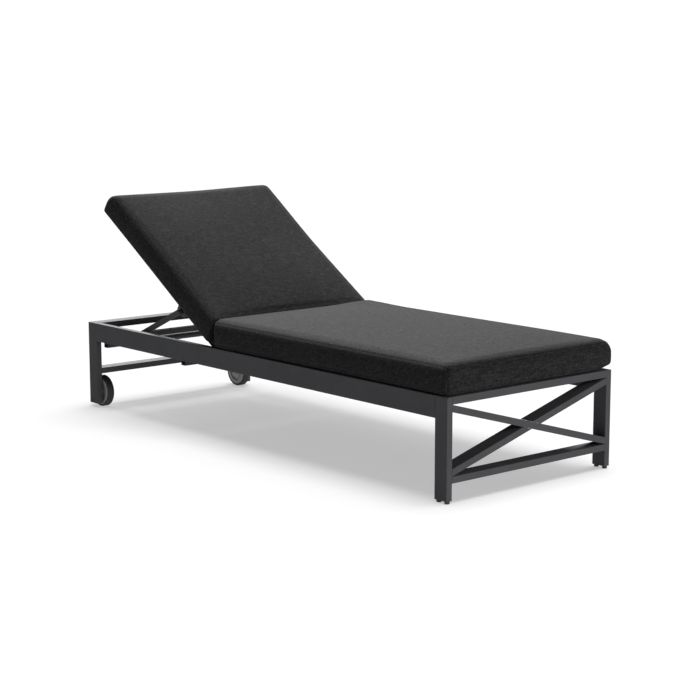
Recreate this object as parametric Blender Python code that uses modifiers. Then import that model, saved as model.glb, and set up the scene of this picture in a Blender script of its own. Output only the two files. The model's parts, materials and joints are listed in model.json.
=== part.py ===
"""Sun lounger with a reclining back, two loose cushions and a pair of wheels.

X runs across the lounger, with the right side at -X. Y runs along it, with the foot end at -Y and
the head end at +Y. Z is up, from the floor. Lengths are in metres and angles in degrees.

The frame is welded from rectangular tube. The back turns on two bolts in the side rails and is held
up by a prop, a bar on two arms, which stands in the notches of two racks below the rails.
"""

import math

import bmesh
import bpy
from mathutils import Matrix, Vector

# Frame
LENGTH = 2.000
WIDTH = 0.740
DECK_Z = 0.330
GAP = 0.0003
WALL = 0.002
EDGE = 0.0015

LEG_X = 0.023
LEG_Y = 0.054
FOOT_LEG_BOTTOM = 0.008
HEAD_LEG_BOTTOM = 0.015

RAIL_HEIGHT = 0.070
RAIL_WIDTH = LEG_X
END_RAIL_HEIGHT = 0.024
STRETCHER_HEIGHT = 0.022
FOOT_STRETCHER_Z = 0.073
HEAD_STRETCHER_Z = 0.143
BRACE_DEPTH = 0.022

CROSS_Y = 0.026
CROSS_HEIGHT = 0.045
CROSS_BOTTOM = 0.237
MID_CROSS_Y = 0.402
HEAD_CROSS_Y = 0.9135

# Slats
SLAT_WIDTH = 0.050
SLAT_THICK = 0.008
SLAT_WALL = 0.0015
SLAT_PITCH = 0.114
SEAT_SLAT_INSET = 0.020
SEAT_SLATS = 11
FIRST_SEAT_SLAT_Y = -0.944
LAST_SEAT_SLAT_Y = 0.180
DRAIN_RADIUS = 0.0025

# Glides, two under each foot leg
GLIDE_RADIUS = 0.00825
GLIDE_SPACING = 0.035
STEM_RADIUS = 0.004
STEM_TOP = 0.020

# Wheels
WHEEL_RADIUS = 0.060
TYRE_INNER = 0.052
WHEEL_INSIDE = 0.314
WHEEL_OUTSIDE = 0.342
AXLE_Y = 0.972
AXLE_RADIUS = 0.005
BOLT_HEAD_RADIUS = 0.009
BOLT_HEAD_HEIGHT = 0.0075

# Back
BACK_ANGLE = 32.75
HINGE_Y = 0.228
HINGE_Z = 0.3185
BACK_TUBE = 0.023
BACK_TUBE_OUTSIDE = 0.326
BACK_TUBE_START = -0.014
BACK_TUBE_END = 0.712
LOWER_TUBE_S = 0.0235
BACK_SLATS = 5
FIRST_BACK_SLAT_S = 0.122
BUSH_RADIUS = 0.008
BUSH_COLLAR_RADIUS = 0.011

# Prop
PIVOT_S = 0.2384
PIVOT_N = -0.024
BRACKET_LENGTH = 0.048
BRACKET_BOTTOM = -0.036
BRACKET_CORNER = 0.009
ARM_INSIDE = 0.328
ARM_THICK = 0.008
ARM_WIDTH = 0.020
ARM_LENGTH = 0.3786
ARM_SLOPE = 24.13
ARM_PER_BACK = -1.56
PROP_BOLT_RADIUS = 0.004
PROP_HEAD_RADIUS = 0.008
FOOT_BAR_RADIUS = 0.011
FOOT_BAR_WALL = 0.0015

# Racks
RACK_X = 0.245
RACK_THICK = 0.008
RACK_BOTTOM = 0.229
RACK_LOW_TOP = 0.243
RACK_LOW_START = 0.815
RACK_TOOTH_END = 0.797
RACK_CLEARANCE = 0.0025
NOTCH_RADIUS = 0.0115
NOTCH_DEPTH = 0.004
NOTCH_BACK_ANGLES = (60.0, 45.0, BACK_ANGLE)

# Cushions
CUSHION_BOTTOM_N = 0.0201
CUSHION_TOP_N = 0.106
CUSHION_END_S = 0.790
CUSHION_FOOT_S = 0.008
CUSHION_FRONT_S = 0.036
SEAT_CUSHION_BOTTOM = 0.3386
SEAT_CUSHION_TOP = 0.426
SEAT_CROWN = 0.010
SEAT_REAR_LOW_Y = 0.195
SEAT_REAR_LOW_Z = 0.348
SEAT_REAR_HIGH_Y = 0.148
SEAT_REAR_HIGH_Z = 0.398

HALF_WIDTH = WIDTH / 2
HALF_LENGTH = LENGTH / 2
LEG_INSIDE = HALF_WIDTH - LEG_X
LEG_CENTRE_X = HALF_WIDTH - LEG_X / 2
FOOT_LEG_CENTRE_Y = -HALF_LENGTH + LEG_Y / 2
HEAD_LEG_CENTRE_Y = HALF_LENGTH - LEG_Y / 2
END_SPAN = 2 * (LEG_INSIDE - GAP)
END_RAIL_Z = DECK_Z - END_RAIL_HEIGHT / 2
BACK_TUBE_CENTRE_X = BACK_TUBE_OUTSIDE - BACK_TUBE / 2
BACK_TUBE_INSIDE = BACK_TUBE_OUTSIDE - BACK_TUBE
SHAFT_CLEARANCE = 0.00035

# The wheels reach past the head legs, so the frame sits a little towards the foot of the origin.
WHEEL_REACH = AXLE_Y + WHEEL_RADIUS - HALF_LENGTH
ORIGIN_SHIFT_Y = -WHEEL_REACH / 2

SIDES = (("left", 1), ("right", -1))


# ---------------------------------------------------------------- scene and materials


def clear_scene():
    for obj in list(bpy.data.objects):
        bpy.data.objects.remove(obj)


def new_collection(name):
    collection = bpy.data.collections.new(name)
    bpy.context.scene.collection.children.link(collection)
    return collection


def new_material(name, colour, roughness, metallic=0.0):
    material = bpy.data.materials.new(name)
    material.use_nodes = True
    shader = material.node_tree.nodes["Principled BSDF"]
    shader.inputs["Base Color"].default_value = (*colour, 1.0)
    shader.inputs["Roughness"].default_value = roughness
    shader.inputs["Metallic"].default_value = metallic
    material.diffuse_color = (*colour, 1.0)
    return material


def new_empty(name, parent=None, location=(0, 0, 0), tilt=0.0):
    empty = bpy.data.objects.new(name, None)
    empty.parent = parent
    empty.location = location
    empty.rotation_euler = (math.radians(tilt), 0, 0)
    lounger.objects.link(empty)
    return empty


def place(name, mesh, material, parent, location, rotation=(0, 0, 0)):
    """Add one named piece; the rotation is in degrees."""
    piece = bpy.data.objects.new(name, mesh)
    if not mesh.materials:
        mesh.materials.append(material)
    piece.parent = parent
    piece.location = location
    piece.rotation_euler = [math.radians(angle) for angle in rotation]
    lounger.objects.link(piece)
    return piece


# ---------------------------------------------------------------- shapes


def evaluated_mesh(obj):
    """The mesh of an object with its modifiers or its curve applied; the object is removed."""
    graph = bpy.context.evaluated_depsgraph_get()
    mesh = bpy.data.meshes.new_from_object(obj.evaluated_get(graph))
    mesh.name = obj.name
    bpy.data.objects.remove(obj)
    return mesh


def weld(mesh):
    """Join doubled corners and turn all faces outwards."""
    solid = bmesh.new()
    solid.from_mesh(mesh)
    bmesh.ops.remove_doubles(solid, verts=solid.verts, dist=0.00001)
    bmesh.ops.recalc_face_normals(solid, faces=solid.faces)
    solid.to_mesh(mesh)
    solid.free()
    return mesh


def fillet(corners, segments=3):
    """Round each (x, y, radius) corner of a closed outline with an arc."""
    points = []
    for index, (x, y, radius) in enumerate(corners):
        corner = Vector((x, y))
        before = (Vector(corners[index - 1][:2]) - corner).normalized()
        after = (Vector(corners[(index + 1) % len(corners)][:2]) - corner).normalized()
        if radius == 0:
            points.append(corner)
            continue
        half_angle = before.angle(after) / 2
        centre = corner + (before + after).normalized() * radius / math.sin(half_angle)
        start = corner + before * radius / math.tan(half_angle) - centre
        end = corner + after * radius / math.tan(half_angle) - centre
        turn = start.angle_signed(end)
        for step in range(segments + 1):
            arc = start.copy()
            arc.rotate(Matrix.Rotation(-turn * step / segments, 2))
            points.append(centre + arc)
    return points


def rectangle(width, height, radius):
    x, y = width / 2, height / 2
    corners = [(-x, -y, radius), (x, -y, radius), (x, y, radius), (-x, y, radius)]
    return fillet(corners)


def circle(radius, sides, centre=(0, 0)):
    angles = [2 * math.pi * step / sides for step in range(sides)]
    return [Vector((centre[0] + radius * math.cos(a), centre[1] + radius * math.sin(a))) for a in angles]


def extruded(name, outlines, thickness):
    """A flat shape in local XY, with any further outlines as holes, as thick as stated along Z."""
    curve = bpy.data.curves.new(name, "CURVE")
    curve.dimensions = "2D"
    curve.fill_mode = "BOTH"
    curve.extrude = thickness / 2
    curve.render_resolution_u = 0
    for outline in outlines:
        spline = curve.splines.new("POLY")
        spline.points.add(len(outline) - 1)
        for point, corner in zip(spline.points, outline):
            point.co = (corner[0], corner[1], 0, 1)
        spline.use_cyclic_u = True
    shape = bpy.data.objects.new(name, curve)
    lounger.objects.link(shape)
    return weld(evaluated_mesh(shape))


def open_tube(name, section, length, wall=WALL, edge=EDGE):
    """Rectangular tube along local Z, open at both ends."""
    bore = [side - 2 * wall for side in section]
    outline = rectangle(*section, edge)
    x, y = bore[0] / 2, bore[1] / 2
    hollow = [Vector((-x, -y)), Vector((x, -y)), Vector((x, y)), Vector((-x, y))]
    return extruded(name, [outline, hollow], length)


def cut_ends(mesh, slope, half_width):
    """Cut a tube along local Z so that both end faces stand at half_width, square to the span."""
    for vertex in mesh.vertices:
        end = math.copysign(1.0, vertex.co.z)
        vertex.co.z = end * half_width / math.cos(slope) + vertex.co.x * math.tan(slope)
    return mesh


def block(name, size, edge, segments=2):
    """Solid box with every edge rounded."""
    solid = bmesh.new()
    bmesh.ops.create_cube(solid, size=1.0, matrix=Matrix.Diagonal((*size, 1.0)))
    bmesh.ops.bevel(
        solid, geom=solid.edges[:], offset=edge, segments=segments, profile=0.5, affect="EDGES"
    )
    mesh = bpy.data.meshes.new(name)
    solid.to_mesh(mesh)
    solid.free()
    return mesh


def hollow_box(name, size, wall, edge, segments=2):
    """Box with every outer edge rounded and a closed hollow inside, ready to be drilled into."""
    mesh = block(name, size, edge, segments)
    solid = bmesh.new()
    solid.from_mesh(mesh)
    inner = Matrix.Diagonal((*[side - 2 * wall for side in size], 1.0))
    hollow = bmesh.ops.create_cube(solid, size=1.0, matrix=inner)
    faces = {face for vertex in hollow["verts"] for face in vertex.link_faces}
    bmesh.ops.reverse_faces(solid, faces=list(faces))
    solid.to_mesh(mesh)
    solid.free()
    return mesh


def cylinder(name, radius, length, sides):
    """Plain cylinder along local Z."""
    solid = bmesh.new()
    bmesh.ops.create_cone(
        solid, cap_ends=True, segments=sides, radius1=radius, radius2=radius, depth=length
    )
    mesh = bpy.data.meshes.new(name)
    solid.to_mesh(mesh)
    solid.free()
    return mesh


def combine(mesh, tool, operation, location, rotation=(0, 0, 0)):
    """Cut a tool mesh from a mesh, or join it on; the rotation is in degrees."""
    target = bpy.data.objects.new(mesh.name, mesh)
    lounger.objects.link(target)
    helper = bpy.data.objects.new(tool.name, tool)
    helper.location = location
    helper.rotation_euler = [math.radians(angle) for angle in rotation]
    helper.hide_render = True
    helper.display_type = "WIRE"
    cutters.objects.link(helper)
    boolean = target.modifiers.new("boolean", "BOOLEAN")
    boolean.operation = operation
    boolean.object = helper
    bpy.context.view_layer.update()
    result = evaluated_mesh(target)
    bpy.data.objects.remove(helper)
    return result


def drill(mesh, radius, depth, sides, location, rotation=(0, 0, 0)):
    """Drill a round hole; the tool stands along Z before it is turned."""
    return combine(mesh, cylinder("drill", radius, depth, sides), "DIFFERENCE", location, rotation)


def turned(name, profile, steps, closed=False):
    """Turn a profile of (radius, height) points about local Z; it runs from the top down."""
    count = len(profile)
    edges = [(index, index + 1) for index in range(count - 1)]
    if closed:
        edges.append((count - 1, 0))
    mesh = bpy.data.meshes.new(name)
    mesh.from_pydata([(radius, 0, height) for radius, height in profile], edges, [])
    shape = bpy.data.objects.new(name, mesh)
    lounger.objects.link(shape)
    screw = shape.modifiers.new("turn", "SCREW")
    screw.steps = steps
    screw.render_steps = steps
    screw.use_merge_vertices = True
    screw.merge_threshold = 0.00001
    result = weld(evaluated_mesh(shape))
    result.shade_smooth()
    result.set_sharp_from_angle(angle=math.radians(35))
    return result


def across(side):
    """Rotation that turns a piece's local Z to point out of the lounger on that side."""
    return (0, 90 * side, 0)


# ---------------------------------------------------------------- frame


def add_side_rails():
    length = 2 * (HALF_LENGTH - LEG_Y - GAP)
    for name, side in SIDES:
        rail = open_tube(f"side_rail_{name}", (RAIL_WIDTH, RAIL_HEIGHT), length)
        hole = (-side * RAIL_WIDTH / 2, HINGE_Z - (DECK_Z - RAIL_HEIGHT / 2), -HINGE_Y)
        rail = drill(rail, AXLE_RADIUS + SHAFT_CLEARANCE, 3 * WALL, 16, hole, (0, 90, 0))
        centre = (side * LEG_CENTRE_X, 0, DECK_Z - RAIL_HEIGHT / 2)
        place(f"side_rail_{name}", rail, coat, frame, centre, (90, 0, 0))


def add_foot_legs():
    height = DECK_Z - FOOT_LEG_BOTTOM
    for name, side in SIDES:
        leg = hollow_box(f"foot_leg_{name}", (LEG_X, LEG_Y, height), WALL, EDGE)
        for end in (-1, 1):
            hole = (0, end * GLIDE_SPACING / 2, -height / 2)
            leg = drill(leg, STEM_RADIUS + SHAFT_CLEARANCE, 3 * WALL, 12, hole)
        centre = (side * LEG_CENTRE_X, FOOT_LEG_CENTRE_Y, FOOT_LEG_BOTTOM + height / 2)
        place(f"foot_leg_{name}", leg, coat, frame, centre)


def add_head_legs():
    height = DECK_Z - HEAD_LEG_BOTTOM
    centre_z = HEAD_LEG_BOTTOM + height / 2
    for name, side in SIDES:
        leg = hollow_box(f"head_leg_{name}", (LEG_X, LEG_Y, height), WALL, EDGE)
        hole = (-side * LEG_X / 2, AXLE_Y - HEAD_LEG_CENTRE_Y, WHEEL_RADIUS - centre_z)
        leg = drill(leg, AXLE_RADIUS + SHAFT_CLEARANCE, 3 * WALL, 16, hole, (0, 90, 0))
        place(f"head_leg_{name}", leg, coat, frame, (side * LEG_CENTRE_X, HEAD_LEG_CENTRE_Y, centre_z))


def add_end_rails():
    rails = (
        ("foot_top_rail", END_RAIL_HEIGHT, FOOT_LEG_CENTRE_Y, END_RAIL_Z),
        ("foot_stretcher", STRETCHER_HEIGHT, FOOT_LEG_CENTRE_Y, FOOT_STRETCHER_Z),
        ("head_top_rail", END_RAIL_HEIGHT, HEAD_LEG_CENTRE_Y, END_RAIL_Z),
        ("head_stretcher", STRETCHER_HEIGHT, HEAD_LEG_CENTRE_Y, HEAD_STRETCHER_Z),
    )
    for name, height, y, z in rails:
        tube = open_tube(name, (height, LEG_Y), END_SPAN)
        place(name, tube, coat, frame, (0, y, z), (0, 90, 0))


def add_foot_brace():
    """Crossed bars between the foot legs: one runs whole, the other is in two halves."""
    top = DECK_Z - END_RAIL_HEIGHT - GAP
    bottom = FOOT_STRETCHER_Z + STRETCHER_HEIGHT / 2 + GAP
    half_span = END_SPAN / 2
    opening = top - bottom
    slope = math.atan2(opening, END_SPAN)
    for _ in range(20):
        slope = math.atan2(opening - BRACE_DEPTH / math.cos(slope), END_SPAN)
    middle = (top + bottom) / 2

    section = (BRACE_DEPTH, LEG_Y)
    whole = cut_ends(open_tube("foot_brace_long", section, 1.0), slope, half_span)
    turn = 90 + math.degrees(slope)
    place("foot_brace_long", whole, coat, frame, (0, FOOT_LEG_CENTRE_Y, middle), (0, turn, 0))

    for name, side in (("upper", 1), ("lower", -1)):
        half = open_tube(f"foot_brace_{name}_half", section, 1.0)
        crossing = math.tan(math.pi / 2 - 2 * slope)
        clear = (BRACE_DEPTH / 2 + GAP) / math.sin(2 * slope)
        for vertex in half.vertices:
            if vertex.co.z > 0:
                vertex.co.z = half_span / math.cos(slope) - vertex.co.x * math.tan(slope)
            else:
                vertex.co.z = clear + vertex.co.x * crossing
        rotation = (0, 90 - math.degrees(slope), 0) if side > 0 else (0, -90 - math.degrees(slope), 0)
        place(half.name, half, coat, frame, (0, FOOT_LEG_CENTRE_Y, middle), rotation)


def add_cross_members():
    for name, y in (("cross_member_middle", MID_CROSS_Y), ("cross_member_head", HEAD_CROSS_Y)):
        tube = open_tube(name, (CROSS_HEIGHT, CROSS_Y), END_SPAN)
        place(name, tube, coat, frame, (0, y, CROSS_BOTTOM + CROSS_HEIGHT / 2), (0, 90, 0))


def slat_mesh(name, length):
    """Flat hollow slat with a drain hole in the middle of its underside."""
    slat = hollow_box(name, (length, SLAT_WIDTH, SLAT_THICK), SLAT_WALL, 0.001, segments=1)
    return drill(slat, DRAIN_RADIUS, 2 * SLAT_WALL + 0.001, 8, (0, 0, -SLAT_THICK / 2))


def add_seat_slats():
    mesh = slat_mesh("seat_slat", 2 * (HALF_WIDTH - SEAT_SLAT_INSET))
    z = DECK_Z + GAP + SLAT_THICK / 2
    for index in range(SEAT_SLATS):
        y = min(FIRST_SEAT_SLAT_Y + index * SLAT_PITCH, LAST_SEAT_SLAT_Y)
        place(f"seat_slat_{index + 1}", mesh, coat, frame, (0, y, z))


def foot_bar_centre(back_angle):
    """Centre (y, z) of the prop's foot bar when the back is at this angle to the floor."""
    back = math.radians(back_angle)
    y = HINGE_Y + PIVOT_S * math.cos(back) - PIVOT_N * math.sin(back)
    z = HINGE_Z + PIVOT_S * math.sin(back) + PIVOT_N * math.cos(back)
    arm = math.radians(-ARM_SLOPE + (1 + ARM_PER_BACK) * (back_angle - BACK_ANGLE))
    return y + ARM_LENGTH * math.cos(arm), z + ARM_LENGTH * math.sin(arm)


def rack_outline():
    """Side view (y, z) of a rack: a notch under the foot bar for each raised position of the back."""
    start = MID_CROSS_Y + CROSS_Y / 2 + GAP
    end = HEAD_CROSS_Y - CROSS_Y / 2 - GAP
    reach = math.acos((NOTCH_RADIUS - NOTCH_DEPTH) / NOTCH_RADIUS)
    notches = []
    for back_angle in NOTCH_BACK_ANGLES:
        y, z = foot_bar_centre(back_angle)
        level = z - FOOT_BAR_RADIUS - RACK_CLEARANCE
        for step in (-1.0, -0.5, 0.0, 0.5, 1.0):
            height = level + NOTCH_RADIUS - NOTCH_DEPTH - NOTCH_RADIUS * math.cos(step * reach)
            notches.append((y + NOTCH_RADIUS * math.sin(step * reach), height))
    land = [
        (start, RACK_BOTTOM),
        (end, RACK_BOTTOM),
        (end, RACK_LOW_TOP),
        (RACK_LOW_START, RACK_LOW_TOP),
        (RACK_TOOTH_END + 0.001, notches[-1][1] - 0.001),
    ]
    return [Vector(point) for point in land + notches[::-1] + [(start, notches[0][1])]]


def add_racks():
    mesh = extruded("prop_rack", [rack_outline()], RACK_THICK)
    for name, side in SIDES:
        place(f"prop_rack_{name}", mesh, coat, frame, (side * RACK_X, 0, 0), (90, 0, 90))


def add_glides():
    shoulder = FOOT_LEG_BOTTOM - GAP
    profile = [
        (0, STEM_TOP),
        (STEM_RADIUS, STEM_TOP),
        (STEM_RADIUS, shoulder),
        (GLIDE_RADIUS, shoulder),
        (GLIDE_RADIUS, 0.001),
        (GLIDE_RADIUS - 0.001, 0),
        (0, 0),
    ]
    mesh = turned("foot_glide", profile, 16)
    for name, side in SIDES:
        for place_name, end in (("outer", -1), ("inner", 1)):
            y = FOOT_LEG_CENTRE_Y + end * GLIDE_SPACING / 2
            place(f"foot_glide_{name}_{place_name}", mesh, glide, frame, (side * LEG_CENTRE_X, y, 0))


def bolt_mesh(name, head_radius, head_height, shank_radius, shank_length):
    """Button-headed bolt along local Z, with the underside of its head at zero."""
    profile = [
        (0, shank_length),
        (shank_radius, shank_length),
        (shank_radius, 0),
        (head_radius, 0),
        (head_radius, -head_height * 0.35),
        (head_radius * 0.6, -head_height),
        (0, -head_height),
    ]
    return turned(name, profile, 16)


def add_hinge_bolts():
    under_head = BACK_TUBE_INSIDE - GAP
    length = HALF_WIDTH - 0.008 - under_head
    mesh = bolt_mesh("hinge_bolt", BOLT_HEAD_RADIUS, BOLT_HEAD_HEIGHT, AXLE_RADIUS, length)
    for name, side in SIDES:
        location = (side * under_head, HINGE_Y, HINGE_Z)
        place(f"hinge_bolt_{name}", mesh, steel, frame, location, across(side))


def add_axle_bolts():
    under_head = WHEEL_INSIDE - GAP
    length = HALF_WIDTH - 0.008 - under_head
    mesh = bolt_mesh("wheel_axle", BOLT_HEAD_RADIUS, BOLT_HEAD_HEIGHT, AXLE_RADIUS, length)
    for name, side in SIDES:
        location = (side * under_head, AXLE_Y, WHEEL_RADIUS)
        place(f"wheel_axle_{name}", mesh, steel, frame, location, across(side))


# ---------------------------------------------------------------- back


def add_back_tubes():
    length = BACK_TUBE_END - BACK_TUBE_START
    centre = (BACK_TUBE_END + BACK_TUBE_START) / 2
    for name, side in SIDES:
        tube = hollow_box(f"back_tube_{name}", (BACK_TUBE, length, BACK_TUBE), WALL, EDGE)
        hole = (0, -centre, 0)
        tube = drill(tube, BUSH_RADIUS + SHAFT_CLEARANCE, 2 * BACK_TUBE, 16, hole, (0, 90, 0))
        place(f"back_tube_{name}", tube, coat, hinge, (side * BACK_TUBE_CENTRE_X, centre, 0))


def add_back_cross_tubes():
    length = 2 * (BACK_TUBE_INSIDE - GAP)
    top_s = BACK_TUBE_END - BACK_TUBE / 2
    for name, s in (("back_top_tube", top_s), ("back_lower_tube", LOWER_TUBE_S)):
        tube = open_tube(name, (BACK_TUBE, BACK_TUBE), length)
        place(name, tube, coat, hinge, (0, s, 0), (0, 90, 0))


def add_back_slats():
    mesh = slat_mesh("back_slat", 2 * BACK_TUBE_OUTSIDE - 0.002)
    n = BACK_TUBE / 2 + GAP + SLAT_THICK / 2
    for index in range(BACK_SLATS):
        s = FIRST_BACK_SLAT_S + index * SLAT_PITCH
        place(f"back_slat_{index + 1}", mesh, coat, hinge, (0, s, n))


def add_hinge_bushes():
    """Flanged bush through each back tube, whose collar keeps the tube off the side rail."""
    bore = AXLE_RADIUS + SHAFT_CLEARANCE
    collar = BACK_TUBE_OUTSIDE + GAP
    profile = [
        (bore, LEG_INSIDE - GAP),
        (BUSH_COLLAR_RADIUS, LEG_INSIDE - GAP),
        (BUSH_COLLAR_RADIUS, collar),
        (BUSH_RADIUS, collar),
        (BUSH_RADIUS, BACK_TUBE_INSIDE),
        (bore, BACK_TUBE_INSIDE),
    ]
    mesh = turned("hinge_bush", profile, 16, closed=True)
    for name, side in SIDES:
        place(f"hinge_bush_{name}", mesh, black_plastic, hinge, (0, 0, 0), across(side))


def add_prop_brackets():
    """Plastic block under each back tube, with a raised face for the arm to turn against."""
    top = -BACK_TUBE / 2 - GAP
    half = BRACKET_LENGTH / 2
    corners = [
        (-half, BRACKET_BOTTOM, BRACKET_CORNER),
        (half, BRACKET_BOTTOM, BRACKET_CORNER),
        (half, top, 0),
        (-half, top, 0),
    ]
    outline = fillet(corners)
    for name, side in SIDES:
        bracket = extruded(f"prop_bracket_{name}", [outline], BACK_TUBE)
        boss_height = ARM_INSIDE - GAP - BACK_TUBE_OUTSIDE
        boss = cylinder("boss", BRACKET_LENGTH * 0.22, boss_height + 0.002, 20)
        boss_z = side * (BACK_TUBE / 2 + boss_height / 2 - 0.001)
        bracket = combine(bracket, boss, "UNION", (0, PIVOT_N, boss_z))
        hole = (0, PIVOT_N, 0)
        bracket = drill(bracket, PROP_BOLT_RADIUS + SHAFT_CLEARANCE, 2 * BACK_TUBE, 16, hole)
        location = (side * BACK_TUBE_CENTRE_X, PIVOT_S, 0)
        place(f"prop_bracket_{name}", bracket, black_plastic, hinge, location, (90, 0, 90))


def add_prop_bolts():
    under_head = ARM_INSIDE + ARM_THICK + GAP
    mesh = bolt_mesh("prop_bolt", PROP_HEAD_RADIUS, 0.005, PROP_BOLT_RADIUS, 0.028)
    for name, side in SIDES:
        location = (side * under_head, PIVOT_S, PIVOT_N)
        place(f"prop_bolt_{name}", mesh, black_steel, hinge, location, across(-side))


def add_prop():
    """Two arms and the foot bar between them, built along the arms' own slope."""
    end = ARM_WIDTH / 2 - 0.0005
    half = ARM_WIDTH / 2
    corners = [
        (-half, -half, end),
        (ARM_LENGTH + half, -half, end),
        (ARM_LENGTH + half, half, end),
        (-half, half, end),
    ]
    hole = circle(PROP_BOLT_RADIUS + SHAFT_CLEARANCE, 16)
    mesh = extruded("prop_arm", [fillet(corners, segments=5), hole], ARM_THICK)
    for name, side in SIDES:
        location = (side * (ARM_INSIDE + ARM_THICK / 2), 0, 0)
        place(f"prop_arm_{name}", mesh, coat, pivot, location, (90, 0, 90))

    half_bar = ARM_INSIDE - GAP
    inner = FOOT_BAR_RADIUS - FOOT_BAR_WALL
    profile = [
        (inner, half_bar),
        (FOOT_BAR_RADIUS, half_bar),
        (FOOT_BAR_RADIUS, -half_bar),
        (inner, -half_bar),
    ]
    bar = turned("prop_foot_bar", profile, 20, closed=True)
    place("prop_foot_bar", bar, coat, pivot, (0, ARM_LENGTH, 0), (0, 90, 0))


# ---------------------------------------------------------------- wheels


def add_wheels():
    bore = AXLE_RADIUS + SHAFT_CLEARANCE
    middle = (WHEEL_INSIDE + WHEEL_OUTSIDE) / 2
    face = (WHEEL_OUTSIDE - WHEEL_INSIDE) / 2
    rim = face - 0.0015
    web = face - 0.005
    seat = TYRE_INNER - GAP
    boss = LEG_INSIDE - 2 * GAP - middle
    hub_profile = [
        (bore, boss),
        (0.009, boss),
        (0.009, web),
        (0.036, web),
        (0.039, rim),
        (seat, rim),
        (seat, -rim),
        (0.039, -rim),
        (0.036, -web),
        (0.011, -web),
        (0.011, -face),
        (bore, -face),
    ]
    tyre_profile = [
        (TYRE_INNER, face - 0.001),
        (WHEEL_RADIUS - 0.003, face),
        (WHEEL_RADIUS - 0.0005, face - 0.003),
        (WHEEL_RADIUS, 0),
        (WHEEL_RADIUS - 0.0005, -face + 0.003),
        (WHEEL_RADIUS - 0.003, -face),
        (TYRE_INNER, -face + 0.001),
    ]
    hub_mesh = turned("wheel_hub", hub_profile, 32, closed=True)
    tyre_mesh = turned("wheel_tyre", tyre_profile, 32, closed=True)
    for name, side in SIDES:
        axle = new_empty(f"wheel_spin_{name}", frame, (side * middle, AXLE_Y, WHEEL_RADIUS))
        place(f"wheel_hub_{name}", hub_mesh, hub_plastic, axle, (0, 0, 0), across(side))
        place(f"wheel_tyre_{name}", tyre_mesh, rubber, axle, (0, 0, 0), across(side))


# ---------------------------------------------------------------- cushions


def add_seat_cushion():
    foot = -HALF_LENGTH
    crown = SEAT_CUSHION_TOP + SEAT_CROWN
    corners = [
        (foot, SEAT_CUSHION_BOTTOM, 0.018),
        (SEAT_REAR_LOW_Y, SEAT_CUSHION_BOTTOM, 0),
        (SEAT_REAR_LOW_Y, SEAT_REAR_LOW_Z, 0),
        (SEAT_REAR_HIGH_Y, SEAT_REAR_HIGH_Z, 0),
        (SEAT_REAR_HIGH_Y, SEAT_CUSHION_TOP, 0.012),
        (foot * 0.35 + SEAT_REAR_HIGH_Y * 0.65, crown, 0),
        (foot * 0.65 + SEAT_REAR_HIGH_Y * 0.35, crown, 0),
        (foot, SEAT_CUSHION_TOP, 0.025),
    ]
    mesh = extruded("seat_cushion", [fillet(corners, segments=4)], WIDTH)
    place("seat_cushion", mesh, cloth, frame, (0, 0, 0), (90, 0, 90))


def add_back_cushion():
    corners = [
        (CUSHION_FOOT_S, CUSHION_BOTTOM_N, 0),
        (CUSHION_END_S, CUSHION_BOTTOM_N, 0.018),
        (CUSHION_END_S, CUSHION_TOP_N, 0.025),
        (CUSHION_FRONT_S, CUSHION_TOP_N, 0.010),
    ]
    mesh = extruded("back_cushion", [fillet(corners, segments=4)], WIDTH)
    place("back_cushion", mesh, cloth, hinge, (0, 0, 0), (90, 0, 90))


# ---------------------------------------------------------------- assembly

clear_scene()
lounger = new_collection("Sun lounger")
cutters = new_collection("Cutters")

coat = new_material("charcoal powder coat", (0.045, 0.045, 0.048), 0.55, 0.2)
steel = new_material("stainless steel", (0.55, 0.55, 0.56), 0.35, 1.0)
black_steel = new_material("blackened steel", (0.015, 0.015, 0.016), 0.45, 0.6)
black_plastic = new_material("black nylon", (0.010, 0.010, 0.011), 0.6)
glide = new_material("black glide", (0.012, 0.012, 0.012), 0.5)
hub_plastic = new_material("grey hub plastic", (0.10, 0.10, 0.105), 0.5)
rubber = new_material("black rubber", (0.008, 0.008, 0.008), 0.85)
cloth = new_material("charcoal cloth", (0.035, 0.035, 0.036), 0.95)

frame = new_empty("frame", location=(0, ORIGIN_SHIFT_Y, 0))
hinge = new_empty("back_hinge", frame, (0, HINGE_Y, HINGE_Z), BACK_ANGLE)
pivot = new_empty("prop_pivot", hinge, (0, PIVOT_S, PIVOT_N), -BACK_ANGLE - ARM_SLOPE)

add_side_rails()
add_foot_legs()
add_head_legs()
add_end_rails()
add_foot_brace()
add_cross_members()
add_seat_slats()
add_racks()
add_glides()
add_hinge_bolts()
add_axle_bolts()
add_back_tubes()
add_back_cross_tubes()
add_back_slats()
add_hinge_bushes()
add_prop_brackets()
add_prop_bolts()
add_prop()
add_wheels()
add_seat_cushion()
add_back_cushion()
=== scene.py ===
"""Looks of the reclining sun lounger: camera, light, floor, cushions, wheels and finishes.

Metres throughout. X runs across the lounger, its foot end is at -Y and its wheels are at +Y.
"""
import json
import math
import bmesh
import bpy
from mathutils import Matrix, Vector


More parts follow.
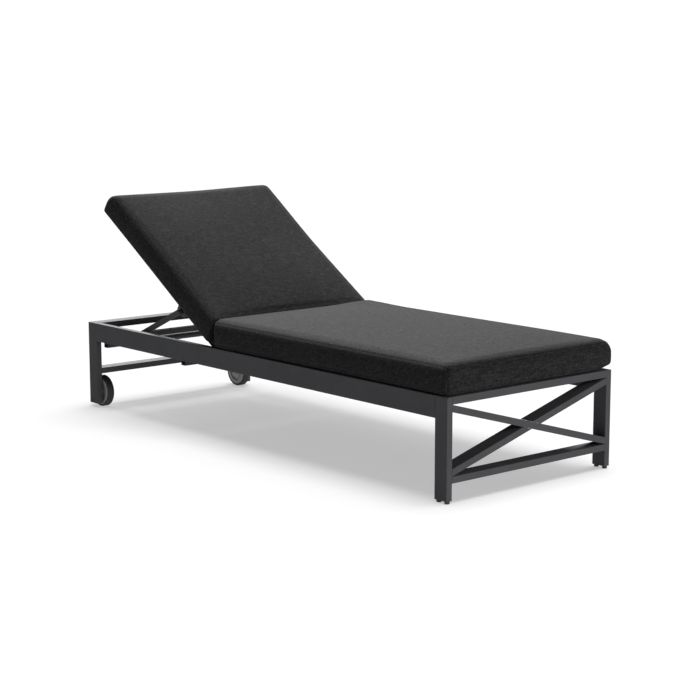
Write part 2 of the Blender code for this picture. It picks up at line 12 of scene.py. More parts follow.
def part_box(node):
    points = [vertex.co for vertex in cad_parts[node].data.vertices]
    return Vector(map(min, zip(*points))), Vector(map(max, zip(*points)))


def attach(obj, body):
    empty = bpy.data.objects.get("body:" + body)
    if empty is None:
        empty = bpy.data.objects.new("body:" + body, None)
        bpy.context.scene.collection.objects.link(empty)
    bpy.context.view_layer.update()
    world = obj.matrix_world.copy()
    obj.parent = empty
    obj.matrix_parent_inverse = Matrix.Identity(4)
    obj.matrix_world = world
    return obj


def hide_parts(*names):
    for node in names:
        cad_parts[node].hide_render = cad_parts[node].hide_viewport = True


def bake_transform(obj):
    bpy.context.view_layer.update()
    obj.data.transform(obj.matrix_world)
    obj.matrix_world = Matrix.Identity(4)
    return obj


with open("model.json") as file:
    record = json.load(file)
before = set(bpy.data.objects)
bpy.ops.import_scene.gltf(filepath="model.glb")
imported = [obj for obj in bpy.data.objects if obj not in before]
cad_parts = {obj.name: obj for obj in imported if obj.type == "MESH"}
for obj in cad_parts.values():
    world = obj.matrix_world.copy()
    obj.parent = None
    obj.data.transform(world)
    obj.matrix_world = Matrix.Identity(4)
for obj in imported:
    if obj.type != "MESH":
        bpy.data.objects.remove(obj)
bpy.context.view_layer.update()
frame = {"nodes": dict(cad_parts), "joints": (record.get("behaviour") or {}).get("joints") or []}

SIDES = ("left", "right")
MM = 0.001


# ---------------------------------------------------------------- node helpers

class Finish:
    """A material with short calls for adding nodes to it."""

    def __init__(self, name):
        self.material = bpy.data.materials.new(name)
        self.material.use_nodes = True
        self.tree = self.material.node_tree
        self.shader = self.tree.nodes["Principled BSDF"]

    def set(self, **values):
        """Sets the shader's own sockets, named with _ for a space."""
        for socket, value in values.items():
            self.shader.inputs[socket.replace("_", " ")].default_value = value

    def link(self, source, target):
        self.tree.links.new(source, target)

    def drive(self, socket, source):
        self.link(source, self.shader.inputs[socket])

    def node(self, kind):
        return self.tree.nodes.new("ShaderNode" + kind)

    def give(self, socket, value):
        """Puts a plain value, or another node's output, into a socket."""
        if isinstance(value, bpy.types.NodeSocket):
            self.link(value, socket)
        else:
            socket.default_value = value

    def place(self):
        """Where a point is on the object, in metres."""
        return self.node("TexCoord").outputs["Object"]

    def attribute(self, name, output="Vector"):
        node = self.node("Attribute")
        node.attribute_name = name
        return node.outputs[output]

    def maths(self, operation, a, b=0.0):
        node = self.node("Math")
        node.operation = operation
        self.give(node.inputs[0], a)
        self.give(node.inputs[1], b)
        return node.outputs[0]

    def blend(self, share, a, b):
        """Number a, or b where share is 1."""
        return self.maths("ADD", a, self.maths("MULTIPLY", share, self.maths("SUBTRACT", b, a)))

    def vector_maths(self, operation, a, b):
        node = self.node("VectorMath")
        node.operation = operation
        self.give(node.inputs[0], a)
        self.give(node.inputs[1], b)
        return node.outputs["Value"] if operation == "DOT_PRODUCT" else node.outputs["Vector"]

    def split(self, vector):
        node = self.node("SeparateXYZ")
        self.link(vector, node.inputs[0])
        return node.outputs[0], node.outputs[1], node.outputs[2]

    def noise(self, place, scale, detail=3.0, stretch=(1.0, 1.0, 1.0), roughness=0.55):
        """Noise of 0 to 1, with scale in patches per metre, and stretch to draw it out along an axis."""
        node = self.node("TexNoise")
        node.inputs["Scale"].default_value = scale
        node.inputs["Detail"].default_value = detail
        node.inputs["Roughness"].default_value = roughness
        self.link(self.vector_maths("MULTIPLY", place, stretch), node.inputs["Vector"])
        return node.outputs["Fac"]

    def ramp(self, source, *stops):
        """Colours along a source of 0 to 1, each stop as (place, colour)."""
        node = self.node("ValToRGB")
        elements = node.color_ramp.elements
        while len(elements) < len(stops):
            elements.new(0.5)
        for element, (place, colour) in zip(elements, stops):
            element.position = place
            element.color = (*colour, 1.0)
        self.link(source, node.inputs[0])
        return node.outputs["Color"]

    def remap(self, source, low, high, from_low=0.0, from_high=1.0):
        node = self.node("MapRange")
        self.link(source, node.inputs["Value"])
        node.inputs["From Min"].default_value = from_low
        node.inputs["From Max"].default_value = from_high
        node.inputs["To Min"].default_value = low
        node.inputs["To Max"].default_value = high
        return node.outputs["Result"]

    def mix(self, share, a, b, blend_type="MIX"):
        """Colour a, or b where share is 1; or, with another blend type, a changed by b."""
        node = self.node("Mix")
        node.data_type = "RGBA"
        node.blend_type = blend_type
        self.give(node.inputs["Factor"], share)
        self.give(node.inputs[6], a)
        self.give(node.inputs[7], b)
        return node.outputs[2]

    def bump(self, height, distance, strength=1.0, normal=None):
        node = self.node("Bump")
        node.inputs["Distance"].default_value = distance
        node.inputs["Strength"].default_value = strength
        self.link(height, node.inputs["Height"])
        if normal is not None:
            self.link(normal, node.inputs["Normal"])
        return node.outputs["Normal"]

    def edges(self, radius):
        """1 along sharp edges, 0 on flat faces."""
        rounded = self.node("Bevel")
        rounded.inputs["Radius"].default_value = radius
        flat = self.node("NewGeometry").outputs["Normal"]
        turned = self.vector_maths("DOT_PRODUCT", rounded.outputs[0], flat)
        return self.remap(turned, 0.0, 1.0, from_low=0.995, from_high=0.88)


# ---------------------------------------------------------------- finishes

def powder_coat():
    """Satin charcoal powder coat: fine grain, soft orange peel, and paler edges that are a painted edge
    highlight with some rubbed wear.
    """
    coat = Finish("powder_coat_charcoal")
    place = coat.place()
    grain = coat.noise(place, 1400.0, detail=2.0)
    cloud = coat.noise(place, 9.0, detail=4.0)
    base = coat.ramp(cloud, (0.30, (0.045, 0.0452, 0.0490)), (0.72, (0.052, 0.0525, 0.0570)))
    speck = coat.ramp(grain, (0.35, (0.80, 0.80, 0.80)), (0.68, (1.18, 1.18, 1.18)))
    tinted = coat.mix(1.0, base, speck, "MULTIPLY")
    scuffs = coat.noise(place, 60.0, detail=6.0, roughness=0.7)
    # Paler along the edges, in scuff patches: a painted edge highlight, partly rubbed wear.
    painted_highlight_and_wear = coat.maths("MULTIPLY", coat.edges(1.2 * MM), coat.remap(scuffs, 0.0, 0.5, 0.35, 0.75))
    coat.drive("Base Color", coat.mix(painted_highlight_and_wear, tinted, (0.066, 0.067, 0.071, 1.0)))
    coat.drive("Roughness", coat.remap(coat.noise(place, 45.0, detail=5.0), 0.66, 0.80))
    peel = coat.bump(coat.noise(place, 420.0, detail=1.0), 0.10 * MM, 0.35)
    coat.drive("Normal", coat.bump(grain, 0.06 * MM, 0.5, peel))
    coat.set(Specular_IOR_Level=0.22)
    return coat.material


def bare_steel(name, dark, light, roughness):
    """Turned steel: fine rings round the X axis, with small stains."""
    steel = Finish(name)
    place = steel.place()
    stain = steel.noise(place, 160.0, detail=5.0)
    steel.drive("Base Color", steel.ramp(stain, (0.30, dark), (0.75, light)))
    rings = steel.noise(place, 900.0, detail=2.0, stretch=(3.0, 0.4, 0.4))
    steel.drive("Roughness", steel.remap(rings, roughness - 0.08, roughness + 0.10))
    steel.drive("Normal", steel.bump(rings, 0.03 * MM, 0.6))
    steel.set(Metallic=1.0)
    return steel.material


def moulded(name, dark, light, roughness, grain_depth):
    """Moulded plastic or rubber: spark-eroded grain, slight mottling, and paler edges that are a painted
    edge highlight with some rubbed wear.
    """
    plastic = Finish(name)
    place = plastic.place()
    cloud = plastic.noise(place, 55.0, detail=5.0)
    grain = plastic.noise(place, 1100.0, detail=3.0)
    base = plastic.ramp(cloud, (0.25, dark), (0.80, light))
    # Paler along every edge: a painted edge highlight, partly rubbed wear.
    painted_highlight_and_rub = plastic.maths("MULTIPLY", plastic.edges(0.8 * MM), 0.35)
    painted_highlight_and_rub_colour = tuple(min(1.0, 1.9 * c + 0.02) for c in light)
    plastic.drive("Base Color", plastic.mix(painted_highlight_and_rub, base, (*painted_highlight_and_rub_colour, 1.0)))
    plastic.drive("Roughness", plastic.remap(grain, roughness - 0.07, roughness + 0.09))
    plastic.drive("Normal", plastic.bump(grain, grain_depth, 0.6))
    return plastic.material


THREAD = 1.9 * MM       # width of one thread and its gap
STITCH = 4.2 * MM       # from one stitch to the next
STITCH_ROW = 6.5 * MM   # from the seam to the row of stitches that flattens its allowance


def seam_and_stitches(cloth, x, y, z):
    """1 in the fold of a seam, and 1 on the stitches of the row beside it."""
    distance = cloth.maths("ABSOLUTE", cloth.attribute("cloth_seam", "Fac"))
    seam = cloth.remap(distance, 1.0, 0.0, from_high=2.2 * MM)
    run = cloth.maths("ADD", cloth.maths("ADD", x, y), z)
    beat = cloth.maths("PINGPONG", run, STITCH / 2)
    dash = cloth.remap(beat, 0.0, 1.0, from_low=0.4 * MM, from_high=0.8 * MM)
    off_row = cloth.maths("ABSOLUTE", cloth.maths("SUBTRACT", distance, STITCH_ROW))
    row = cloth.remap(off_row, 1.0, 0.0, from_low=0.3 * MM, from_high=0.7 * MM)
    return seam, cloth.maths("MULTIPLY", dash, row)


def heather_cloth():
    """Charcoal outdoor cloth: a plain weave of heathered threads, laid out by the place at rest."""
    cloth = Finish("cloth_charcoal_heather")
    place = cloth.attribute("cloth_place")
    nx, ny, nz = cloth.split(cloth.attribute("cloth_normal"))
    x, y, z = cloth.split(place)
    turn = math.pi / THREAD
    waves = [cloth.maths("SINE", cloth.maths("MULTIPLY", way, turn)) for way in (x, y, z)]

    def facing(part, first, second):
        """The weave's crossings on faces that look along one axis."""
        crossing = cloth.maths("MULTIPLY", waves[first], waves[second])
        return cloth.maths("MULTIPLY", crossing, cloth.maths("MULTIPLY", part, part))

    upright_faces = cloth.maths("ADD", facing(nx, 1, 2), facing(ny, 0, 2))
    weave = cloth.maths("ADD", facing(nz, 0, 1), upright_faces)
    weft = cloth.noise(place, 1.0, detail=3.0, stretch=(34.0, 330.0, 330.0), roughness=0.62)
    along = cloth.noise(place, 1.0, detail=3.0, stretch=(330.0, 45.0, 330.0), roughness=0.62)
    upright = cloth.noise(place, 1.0, detail=3.0, stretch=(330.0, 330.0, 45.0), roughness=0.62)
    warp = cloth.blend(cloth.maths("MULTIPLY", ny, ny), along, upright)
    slubs = cloth.noise(place, 150.0, detail=2.0)
    cloud = cloth.noise(place, 5.0, detail=3.0)
    yarn = cloth.maths("ADD", cloth.maths("MULTIPLY", weft, 0.42), cloth.maths("MULTIPLY", warp, 0.32))
    yarn = cloth.maths("ADD", yarn, cloth.maths("MULTIPLY", slubs, 0.26))
    yarn = cloth.maths("ADD", yarn, cloth.maths("MULTIPLY", weave, 0.035))
    heather = cloth.ramp(
        yarn,
        (0.40, (0.0045, 0.0045, 0.0047)),
        (0.50, (0.0112, 0.0112, 0.0115)),
        (0.61, (0.0290, 0.0290, 0.0293)),
    )
    faded = cloth.ramp(cloud, (0.30, (0.93, 0.93, 0.93)), (0.70, (1.07, 1.07, 1.07)))
    shade = cloth.mix(1.0, heather, faded, "MULTIPLY")
    seam, stitch = seam_and_stitches(cloth, x, y, z)
    # Darkens the colour in the fold of each seam: painted shade in the crease.
    seam_painted_shade = cloth.mix(cloth.maths("MULTIPLY", seam, 0.4), shade, (0.003, 0.003, 0.003, 1.0))
    stitched = cloth.mix(cloth.maths("MULTIPLY", stitch, 0.6), seam_painted_shade, (0.030, 0.030, 0.031, 1.0))
    cloth.drive("Base Color", stitched)
    cloth.drive("Roughness", cloth.remap(yarn, 0.98, 0.84))
    knots = cloth.bump(yarn, 0.5 * MM, 0.35)
    woven = cloth.bump(weave, 0.35 * MM, 0.55, knots)
    cloth.drive("Normal", cloth.bump(cloth.maths("SUBTRACT", stitch, seam), 0.5 * MM, 0.8, woven))
    cloth.set(Specular_IOR_Level=0.10, Sheen_Weight=0.02, Sheen_Roughness=0.5)
    return cloth.material


def studio_floor():
    """Pale matt floor with a very slight unevenness, which also gives back some light under the lounger."""
    floor = Finish("studio_floor")
    place = floor.place()
    cloud = floor.noise(place, 1.5, detail=2.0)
    floor.drive("Base Color", floor.ramp(cloud, (0.3, (0.58, 0.58, 0.58)), (0.7, (0.60, 0.60, 0.60))))
    floor.drive("Roughness", floor.remap(floor.noise(place, 30.0), 0.9, 1.0))
    floor.set(Specular_IOR_Level=0.0, Emission_Color=(1.0, 1.0, 1.0, 1.0), Emission_Strength=0.46)
    return floor.material


FINISHES = {
    "powder_coat": powder_coat(),
    "steel": bare_steel("steel_zinc_plated", (0.42, 0.42, 0.43), (0.58, 0.58, 0.57), 0.36),
    "black_steel": bare_steel("steel_blackened", (0.030, 0.030, 0.032), (0.060, 0.060, 0.064), 0.45),
    "black_nylon": moulded("nylon_black", (0.008, 0.008, 0.008), (0.014, 0.014, 0.014), 0.50, 0.10 * MM),
    "grey_plastic": moulded("plastic_grey", (0.22, 0.22, 0.22), (0.27, 0.27, 0.27), 0.55, 0.06 * MM),
    "rubber": moulded("rubber_black", (0.009, 0.009, 0.009), (0.016, 0.016, 0.016), 0.66, 0.15 * MM),
    "cloth": heather_cloth(),
}


def finish_cad_nodes():
    for node in frame["nodes"].values():
        for slot in node.material_slots:
            slot.material = FINISHES[slot.material.name.split(".")[0]]


# ---------------------------------------------------------------- mesh helpers

def new_object(name, mesh, material):
    piece = bpy.data.objects.new(name, mesh)
    bpy.context.scene.collection.objects.link(piece)
    mesh.materials.clear()
    mesh.materials.append(material)
    return piece


def object_from_bmesh(name, shape, material):
    mesh = bpy.data.meshes.new(name)
    bmesh.ops.recalc_face_normals(shape, faces=shape.faces)
    shape.to_mesh(mesh)
    shape.free()
    return new_object(name, mesh, material)


def bake_modifiers(piece):
    """Replaces the piece's mesh with what its modifiers make of it, and takes them off."""
    bpy.context.view_layer.update()
    seen = piece.evaluated_get(bpy.context.evaluated_depsgraph_get())
    mesh = bpy.data.meshes.new_from_object(seen)
    piece.modifiers.clear()
    piece.data = mesh
    return piece


def smooth_by_angle(piece, degrees):
    """Shades the piece smooth, with edges sharper than this angle kept crisp."""
    shape = bmesh.new()
    shape.from_mesh(piece.data)
    for face in shape.faces:
        face.smooth = True
    for edge in shape.edges:
        edge.smooth = edge.calc_face_angle(0.0) < math.radians(degrees)
    shape.to_mesh(piece.data)
    shape.free()


def step(low, high, value):
    """0 below low, 1 above high, and smooth between."""
    t = min(1.0, max(0.0, (value - low) / (high - low)))
    return t * t * (3.0 - 2.0 * t)


def dome(value):
    """Rises from 0 to 1 like the side of a dome, and stays at 1."""
    return 1.0 - (1.0 - min(1.0, max(0.0, value))) ** 2


# ---------------------------------------------------------------- cushions

VOXEL = 7 * MM
TOP_SWELL = 13 * MM     # how far the filling lifts the top, at most
SIDE_SWELL = 8 * MM     # and how far it pushes out the sides
SLIDE = 4 * MM          # the furthest the cloth slips along the foam
TOP_ROUND = 330 * MM    # how far in from its edges the top rises to its crown
SIDE_ROUND = 45 * MM    # and how far in from their edges the sides fill out
SEAM_DEPTH = 1.5 * MM   # of the seams up the corners
EDGE_SEAM_DEPTH = 0.5 * MM
SEAM_WIDTH = 4.5 * MM
OVERHANG = 7 * MM       # the covers are a little wider than the foam, and lie a little towards +X
END_SHARE = 0.35        # of the sides' fullness that is left at their ends
LEAST_SWELL = 0.1 * MM  # the swell along the edges, which keeps the cap above nothing
HELD_BAND = 2 * MM      # height above the bottom within which the cloth rests and stays put
SIM_FRAMES = 20
CORNER_RADIUS = 22 * MM
TOE_RADIUS = 7 * MM
CROWN = 1 * MM          # lift of the block's middle, before it is filled
WAIST = 3 * MM          # how far the block's sides are drawn in between its corners
END_WAIST = 0.6         # the ends' share of that drawing in
SAG_RAMP = 3 * MM       # from the ends of the slats to where the border hangs fully
SAG_HEIGHT = 40 * MM    # the part of the side that hangs with it


class Cushion:
    """A boxed foam cushion in its own place: x across, y along, z up from what it rests on."""

    def __init__(self, name, place, half_width, outline, toe):
        self.name = name
        self.place = place
        self.half_width = half_width
        self.outline = outline            # (y, z) of its foot bottom, head bottom, head top and foot top
        self.low_end = min(y for y, z in outline)
        self.high_end = max(y for y, z in outline)
        self.bottom = min(z for y, z in outline)
        self.top = max(z for y, z in outline)
        self.toe = toe                    # the outline's point where the other cushion presses

    def fullness(self, co, normal):
        """How far a point may stand off the foam: most in mid-face, and next to nothing along its edges."""
        across = self.half_width - abs(co.x)
        along = min(co.y - self.low_end, self.high_end - co.y)
        up = min(co.z - self.bottom, self.top - co.z)
        upward = max(0.0, normal.z) ** 2
        sideways = abs(normal.x) > abs(normal.y)
        top = TOP_SWELL * dome(across / TOP_ROUND) * dome(along / TOP_ROUND)
        ends = step(0, SIDE_ROUND, along if sideways else across)
        side = SIDE_SWELL * step(0, SIDE_ROUND, up) * (END_SHARE + (1 - END_SHARE) * ends)
        return top * upward + side * (1 - upward) + LEAST_SWELL

    def block(self, radius, bottom_radius):
        """The cushion's foam block, with rounded edges, before its cloth fills out."""
        shape = bmesh.new()
        rings = []
        for x in (-self.half_width, self.half_width):
            rings.append([shape.verts.new((x, y, z)) for y, z in self.outline])
        for ring in rings:
            shape.faces.new(ring)
        count = len(self.outline)
        for i in range(count):
            j = (i + 1) % count
            shape.faces.new((rings[0][i], rings[0][j], rings[1][j], rings[1][i]))
        share = shape.edges.layers.float.new("bevel_weight_edge")
        for edge in shape.edges:
            low = max(vertex.co.z for vertex in edge.verts) < self.bottom + 1 * MM
            toe = all((vertex.co.yz - Vector(self.toe)).length < 1 * MM for vertex in edge.verts)
            upright = min(vertex.co.z for vertex in edge.verts) < self.bottom + 1 * MM and not low
            wanted = radius
            if low:
                wanted = bottom_radius
            elif upright:
                wanted = CORNER_RADIUS
            elif toe:
                wanted = TOE_RADIUS
            edge[share] = wanted / radius
        piece = object_from_bmesh(self.name, shape, FINISHES["cloth"])
        bevel = piece.modifiers.new("edges", "BEVEL")
        bevel.limit_method = "WEIGHT"
        bevel.width = radius
        bevel.segments = 6
        return piece


def remeshed(piece, voxel):
    remesh = piece.modifiers.new("remesh", "REMESH")
    remesh.mode = "VOXEL"
    remesh.voxel_size = voxel
    return bake_modifiers(piece)


def crown(piece, cushion):
    """Raises the middle of the top and draws the sides in between the corners."""
    mid = (cushion.low_end + cushion.high_end) / 2
    half = (cushion.high_end - cushion.low_end) / 2
    for vertex in piece.data.vertices:
        u = vertex.co.x / cushion.half_width
        v = (vertex.co.y - mid) / half
        rise = step(cushion.bottom, cushion.top, vertex.co.z)
        vertex.co.z += CROWN * rise * max(0.0, 1 - u ** 4) * max(0.0, 1 - v ** 4)
        vertex.co.x -= WAIST * u * abs(u) ** 3 * max(0.0, 1 - v * v)
        end_pull = WAIST * v * abs(v) ** 3 * max(0.0, 1 - u * u)
        vertex.co.y -= end_pull * half / cushion.half_width * END_WAIST


def sag_border(piece, cushion, half_width, foot, depth):
    """Lets the bottom's border hang by this depth, past the ends of the slats that hold up the rest."""
    for vertex in piece.data.vertices:
        x, y, z = cushion.place @ vertex.co
        past_side = step(half_width, half_width + SAG_RAMP, abs(x))
        past_foot = 1 - step(foot - SAG_RAMP, foot, y)
        lowness = 1 - step(cushion.bottom, cushion.bottom + SAG_HEIGHT, vertex.co.z)
        vertex.co.z -= depth * max(past_side, past_foot) * lowness


def inflate(piece, cushion):
    """Fills the cushion: cloth under pressure, held where it rests.

    The foam keeps it from moving inwards, and caps how far it stands off.
    """
    start = [(vertex.co.copy(), vertex.normal.copy()) for vertex in piece.data.vertices]
    held = piece.vertex_groups.new(name="rests")
    resting = [i for i, (co, normal) in enumerate(start) if co.z < cushion.bottom + HELD_BAND]
    held.add(resting, 1.0, "REPLACE")
    cloth = piece.modifiers.new("fill", "CLOTH")
    fabric = cloth.settings
    fabric.quality = 4
    fabric.mass = 0.3
    fabric.tension_stiffness = 12.0
    fabric.compression_stiffness = 12.0
    fabric.shear_stiffness = 4.0
    fabric.bending_stiffness = 0.6
    fabric.use_pressure = True
    fabric.uniform_pressure_force = 4.0
    fabric.effector_weights.gravity = 0.0
    fabric.vertex_group_mass = "rests"
    cloth.point_cache.frame_start = 1
    cloth.point_cache.frame_end = SIM_FRAMES
    for number in range(1, SIM_FRAMES + 1):
        bpy.context.scene.frame_set(number)
    bake_modifiers(piece)
    piece.vertex_groups.clear()
    for vertex, (before, normal) in zip(piece.data.vertices, start):
        moved = vertex.co - before
        outward = moved.dot(normal)
        slip = moved - normal * outward
        slip *= min(1.0, SLIDE / max(slip.length, SLIDE))
        cap = cushion.fullness(before, normal)
        vertex.co = before + normal * cap * math.tanh(max(0.0, outward) / cap) + slip
    bpy.context.scene.frame_set(1)


def keep_behind(piece, planes):
    """Holds the cushion back from its neighbours: no point passes a plane of (point, outward normal)."""
    for vertex in piece.data.vertices:
        for point, normal in planes:
            beyond = (vertex.co - point).dot(normal)
            if beyond > 0:
                vertex.co -= normal * beyond


def seam_distance(cushion, co):
    """How far a point is to either side of the nearest seam, and whether that seam runs up a corner.

    The seams run along the edges of the cushion.
    """
    depths = (
        cushion.half_width - abs(co.x),
        min(co.y - cushion.low_end, cushion.high_end - co.y),
        min(co.z - cushion.bottom, cushion.top - co.z),
    )
    first, second = sorted(sorted(range(3), key=lambda axis: depths[axis])[:2])
    return (depths[first] - depths[second]) / math.sqrt(2), second == 1


def sew(piece, cushion):
    """Draws the cloth in along the seams, and keeps the distance to them for the stitches."""
    mesh = piece.data
    seams = [seam_distance(cushion, vertex.co) for vertex in mesh.vertices]
    normals = [vertex.normal.copy() for vertex in mesh.vertices]
    for vertex, (distance, at_corner), normal in zip(mesh.vertices, seams, normals):
        depth = SEAM_DEPTH if at_corner else EDGE_SEAM_DEPTH
        vertex.co -= normal * depth * math.exp(-(distance / SEAM_WIDTH) ** 2)
    distances = [distance for distance, at_corner in seams]
    mesh.attributes.new("cloth_seam", "FLOAT", "POINT").data.foreach_set("value", distances)


def plump_corner(piece, corner, lift, reach):
    """Lifts the cushion smoothly round one corner."""
    for vertex in piece.data.vertices:
        vertex.co += lift * (1 - step(0, reach, (vertex.co - corner).length))


def remember_rest(piece):
    """Keeps each point's place and normal at rest, which the weave follows in every pose."""
    mesh = piece.data
    places = [value for vertex in mesh.vertices for value in vertex.co]
    normals = [value for vertex in mesh.vertices for value in vertex.normal]
    mesh.attributes.new("cloth_place", "FLOAT_VECTOR", "POINT").data.foreach_set("vector", places)
    mesh.attributes.new("cloth_normal", "FLOAT_VECTOR", "POINT").data.foreach_set("vector", normals)


def make_cushion(cushion, planes, plumped, radius, bottom_radius, border=None):
    """A filled, sewn cushion.

    Each plumped corner is (point, lift, reach), and the border is (half width, foot, depth) of its sag.
    """
    piece = cushion.block(radius, bottom_radius)
    remeshed(piece, VOXEL)
    crown(piece, cushion)
    inflate(piece, cushion)
    smooth = piece.modifiers.new("smooth", "SMOOTH")
    smooth.factor = 0.5
    smooth.iterations = 4
    bake_modifiers(piece)
    piece.modifiers.new("finer", "SUBSURF").levels = 1
    bake_modifiers(piece)
    if border is not None:
        sag_border(piece, cushion, *border)
    sew(piece, cushion)
    for corner in plumped:
        plump_corner(piece, *corner)
    keep_behind(piece, planes)
    for face in piece.data.polygons:
        face.use_smooth = True
    remember_rest(piece)
    piece.data.transform(cushion.place)
    return piece


CUSHION_GAP = 6 * MM    # between the seat cushion and the back cushion
SEAT_LIFT = 0.5 * MM    # of the seat cushion off the slats
SLAT_ROOM = 2 * MM      # past the slats' ends before the border may sag
RAIL_GAP = 0.8 * MM     # left between the sagging border and the rails


def seat_cushion():
    low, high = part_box("seat_cushion")
    first_slat_low, first_slat_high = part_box("seat_slat_1")
    rail_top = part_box("side_rail_right")[1].z
    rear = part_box("back_cushion")[0].y - CUSHION_GAP
    bottom = low.z + SEAT_LIFT
    side_top = high.z - 5 * MM             # the top's edges, below its crown
    slats = (first_slat_high.x + SLAT_ROOM, first_slat_low.y - SLAT_ROOM)
    sag = bottom - rail_top - RAIL_GAP
    cushion = Cushion(
        "seat_cushion_cover",
        Matrix.Translation((OVERHANG, 0, 0)),
        high.x + OVERHANG,
        ((low.y, bottom), (rear, bottom), (rear, side_top), (low.y, side_top)),
        toe=(rear, side_top),
    )
    planes = (
        (Vector((0, rear, 0)), Vector((0, 1, 0))),
        (Vector((0, 0, bottom - sag)), Vector((0, 0, -1))),
    )
    curled = (Vector((high.x, low.y, bottom)), Vector((0, 0, 13 * MM)), 75 * MM)
    far_rear = (Vector((high.x, rear, side_top)), Vector((3 * MM, 0, 6 * MM)), 260 * MM)
    piece = make_cushion(
        cushion,
        planes,
        plumped=[curled, far_rear],
        radius=40 * MM,
        bottom_radius=12 * MM,
        border=(*slats, sag),
    )
    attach(piece, "frame")
    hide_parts("seat_cushion")


BACK_LIFT = 0.4 * MM        # of the back cushion off the backrest
HEAD_OVERHANG = 11 * MM     # of its cover past the foam at the head end


def back_cushion():
    recline = next(joint for joint in frame["joints"] if joint["name"] == "backrest_recline")
    tilt = Matrix.Rotation(math.radians(-recline["range_deg"][0]), 4, "X")
    place = Matrix.Translation(recline["pos_m"]) @ tilt
    upright = place.inverted()
    points = [upright @ vertex.co for vertex in frame["nodes"]["back_cushion"].data.vertices]
    bottom = min(point.z for point in points) + BACK_LIFT
    top = max(point.z for point in points)
    side_top = top - 3 * MM                # the top's edges, below its crown
    head = max(point.y for point in points) + HEAD_OVERHANG
    heel = min(point.y for point in points)
    toe = heel + 25 * MM                   # the bottom end slants, to lie against the seat cushion
    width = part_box("back_cushion")[1].x
    cushion = Cushion(
        "back_cushion_cover",
        place @ Matrix.Translation((OVERHANG, 0, 0)),
        width + OVERHANG,
        ((heel, bottom), (head, bottom), (head, side_top), (toe, side_top)),
        toe=(toe, side_top),
    )
    slant = Vector((0, bottom - top, toe - heel)).normalized()
    planes = (
        (Vector((0, heel, bottom)), slant),
        (Vector((0, 0, bottom)), Vector((0, 0, -1))),
    )
    full = (Vector((width, head, top)), Vector((3 * MM, 0, 9 * MM)), 420 * MM)
    piece = make_cushion(cushion, planes, plumped=[full], radius=35 * MM, bottom_radius=7 * MM)
    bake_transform(piece)
    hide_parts("back_cushion")


# ---------------------------------------------------------------- wheels

def turned(name, profile, centre, material, steps=96):
    """A ring or disc turned round the X axis from (x, radius) points, closed when its ends meet."""
    shape = bmesh.new()
    points = [shape.verts.new((x, 0.0, radius)) for x, radius in profile]
    edges = [shape.edges.new((points[i], points[(i + 1) % len(points)])) for i in range(len(points))]
    bmesh.ops.spin(
        shape,
        geom=points + edges,
        cent=(0, 0, 0),
        axis=(1, 0, 0),
        angle=2 * math.pi,
        steps=steps,
        use_merge=True,
    )
    bmesh.ops.remove_doubles(shape, verts=shape.verts[:], dist=0.01 * MM)
    bmesh.ops.translate(shape, verts=shape.verts[:], vec=centre)
    piece = object_from_bmesh(name, shape, material)
    smooth_by_angle(piece, 35)
    return piece


def rounded(corner_points, radius, segments=4):
    """A closed outline of (x, radius) points with its corners rounded."""
    rounded_points = []
    count = len(corner_points)
    for i, corner in enumerate(corner_points):
        here = Vector(corner)
        back = Vector(corner_points[i - 1]) - here
        ahead = Vector(corner_points[(i + 1) % count]) - here
        reach = min(radius, 0.45 * back.length, 0.45 * ahead.length)
        start = here + back.normalized() * reach
        stop = here + ahead.normalized() * reach
        for k in range(segments + 1):
            t = k / segments
            rounded_points.append(tuple(start * (1 - t) ** 2 + here * 2 * t * (1 - t) + stop * t ** 2))
    return rounded_points


RIM_DEPTH = 8 * MM          # of the tyre, from its tread to the hub's rim
SHOULDER = 3 * MM           # sloping edge of the tread
GROOVE_DEPTH = 1.6 * MM
GROOVE_STARTS = (-0.42, 0.18)   # as shares of the tyre's half width
GROOVE_WIDTH = 0.24
ROUNDING = 1.0 * MM
BORE_RADIUS = 5.4 * MM
TYRE_GAP = 0.3 * MM         # between the hub's rim and the tyre
RIM_BEVEL = 1.5 * MM


def tyre(side, centre, outer, half):
    """The tyre, with two grooves round its tread."""
    rim = outer - RIM_DEPTH
    outline = [(-half, rim), (-half, outer - SHOULDER), (-half + SHOULDER, outer)]
    for share in GROOVE_STARTS:
        near = half * share
        far = near + half * GROOVE_WIDTH
        bottom = outer - GROOVE_DEPTH
        outline += [(near, outer), (near, bottom), (far, bottom), (far, outer)]
    outline += [(half - SHOULDER, outer), (half, outer - SHOULDER), (half, rim)]
    piece = turned("wheel_tyre_cover_" + side, rounded(outline, ROUNDING), centre, FINISHES["rubber"])
    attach(piece, "wheel_" + side)
    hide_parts("wheel_tyre_" + side)


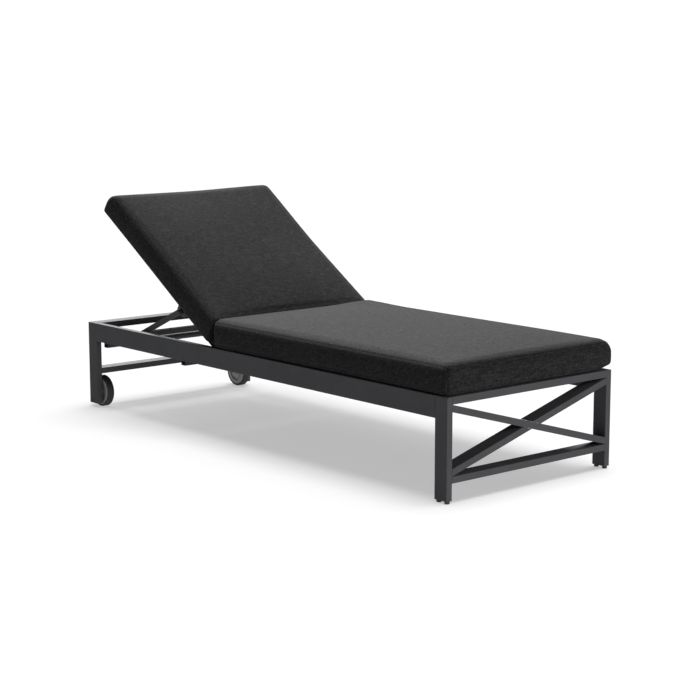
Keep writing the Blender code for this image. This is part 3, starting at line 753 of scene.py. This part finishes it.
def hub(side, centre, outer, half):
    """The hub: a dished disc with a boss on the leg's side and a raised ring on the other."""
    sign = 1 if side == "left" else -1
    lip = outer - RIM_DEPTH - TYRE_GAP
    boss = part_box("wheel_hub_" + side)
    boss_x = (boss[1].x if sign > 0 else boss[0].x) - centre.x
    leg_face = sign * half
    open_face = -sign * half

    def from_leg_face(depth):
        return leg_face - sign * depth

    def from_open_face(depth):
        return open_face + sign * depth

    outline = [
        (boss_x, BORE_RADIUS),
        (boss_x, 11 * MM),
        (from_leg_face(6 * MM), 13 * MM),
        (from_leg_face(6 * MM), 36 * MM),
        (leg_face, 38 * MM),
        (leg_face, lip - RIM_BEVEL),
        (from_leg_face(RIM_BEVEL), lip),
        (from_open_face(RIM_BEVEL), lip),
        (open_face, lip - RIM_BEVEL),
        (open_face, 38 * MM),
        (from_open_face(5 * MM), 36 * MM),
        (from_open_face(5 * MM), 27 * MM),
        (from_open_face(1 * MM), 25 * MM),
        (from_open_face(1 * MM), 12 * MM),
        (from_open_face(3 * MM), 10.5 * MM),
        (from_open_face(3 * MM), BORE_RADIUS),
    ]
    piece = turned("wheel_hub_cover_" + side, rounded(outline, ROUNDING), centre, FINISHES["grey_plastic"])
    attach(piece, "wheel_" + side)
    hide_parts("wheel_hub_" + side)


def wheel(side):
    low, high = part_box("wheel_tyre_" + side)
    centre = (low + high) / 2
    outer = (high.z - low.z) / 2
    half = (high.x - low.x) / 2
    tyre(side, centre, outer, half)
    hub(side, centre, outer, half)


# ---------------------------------------------------------------- stage

FLOOR_RADIUS = 60.0
WORLD_LIGHT = 0.10          # strength of the world as a light
WORLD_SEEN = 1.15           # and as the camera sees it, white behind the lounger
LENS = 89.36                # mm, on a 36 mm sensor
CAMERA_PLACE = (-3.90969, -4.70387, 1.33627)
CAMERA_DIP = 9.5714         # degrees below the horizon
CAMERA_HEADING = -40.5556   # degrees about Z from looking along +Y


def floor():
    """A flat pale floor that reaches past the horizon of every view."""
    shape = bmesh.new()
    bmesh.ops.create_circle(shape, cap_ends=True, cap_tris=True, segments=96, radius=FLOOR_RADIUS)
    piece = object_from_bmesh("studio_floor", shape, studio_floor())
    return piece


def sun(name, azimuth, elevation, strength, softness, ground, on_ground):
    """A soft, even light from one direction, on the ground alone or on everything else.

    Azimuth 0 comes from +Y and 90 from +X.
    """
    lamp = bpy.data.lights.new(name, "SUN")
    lamp.energy = strength
    lamp.angle = math.radians(softness)
    lit = bpy.data.objects.new(name, lamp)
    bpy.context.scene.collection.objects.link(lit)
    a, e = math.radians(azimuth), math.radians(elevation)
    towards = Vector((math.sin(a) * math.cos(e), math.cos(a) * math.cos(e), math.sin(e)))
    lit.rotation_euler = towards.to_track_quat("Z", "Y").to_euler()
    flagged = bpy.data.collections.new(name + "_flag")
    flagged.objects.link(ground)
    lit.light_linking.receiver_collection = flagged
    flagged.collection_objects[0].light_linking.link_state = "INCLUDE" if on_ground else "EXCLUDE"


def lights(ground):
    sun("key_behind", 25, 39.5, strength=8.4, softness=30, ground=ground, on_ground=False)
    sun("overhead", 120, 85, strength=2.3, softness=40, ground=ground, on_ground=True)
    sun("side", 80, 58, strength=0.6, softness=50, ground=ground, on_ground=True)
    sun("fill_foot", 165, 20, strength=2.6, softness=60, ground=ground, on_ground=False)
    world = bpy.data.worlds.new("studio")
    world.use_nodes = True
    bpy.context.scene.world = world
    nodes, links = world.node_tree.nodes, world.node_tree.links
    background = nodes["Background"]
    background.inputs["Color"].default_value = (1.0, 1.0, 1.0, 1.0)
    path = nodes.new("ShaderNodeLightPath")
    strength = nodes.new("ShaderNodeMapRange")
    strength.inputs["To Min"].default_value = WORLD_LIGHT
    strength.inputs["To Max"].default_value = WORLD_SEEN
    links.new(path.outputs["Is Camera Ray"], strength.inputs["Value"])
    links.new(strength.outputs["Result"], background.inputs["Strength"])


def camera():
    """The photograph's viewpoint: from the right of the foot end, a little above the lounger."""
    lens = bpy.data.cameras.new("camera")
    lens.lens = LENS
    lens.sensor_width = 36.0
    view = bpy.data.objects.new("camera", lens)
    view.location = CAMERA_PLACE
    view.rotation_euler = (math.radians(90 - CAMERA_DIP), 0.0, math.radians(CAMERA_HEADING))
    bpy.context.scene.collection.objects.link(view)
    bpy.context.scene.camera = view


camera()
lights(floor())
finish_cad_nodes()
seat_cushion()
back_cushion()
for side in SIDES:
    wheel(side)

bpy.context.scene.view_settings.view_transform = "Standard"
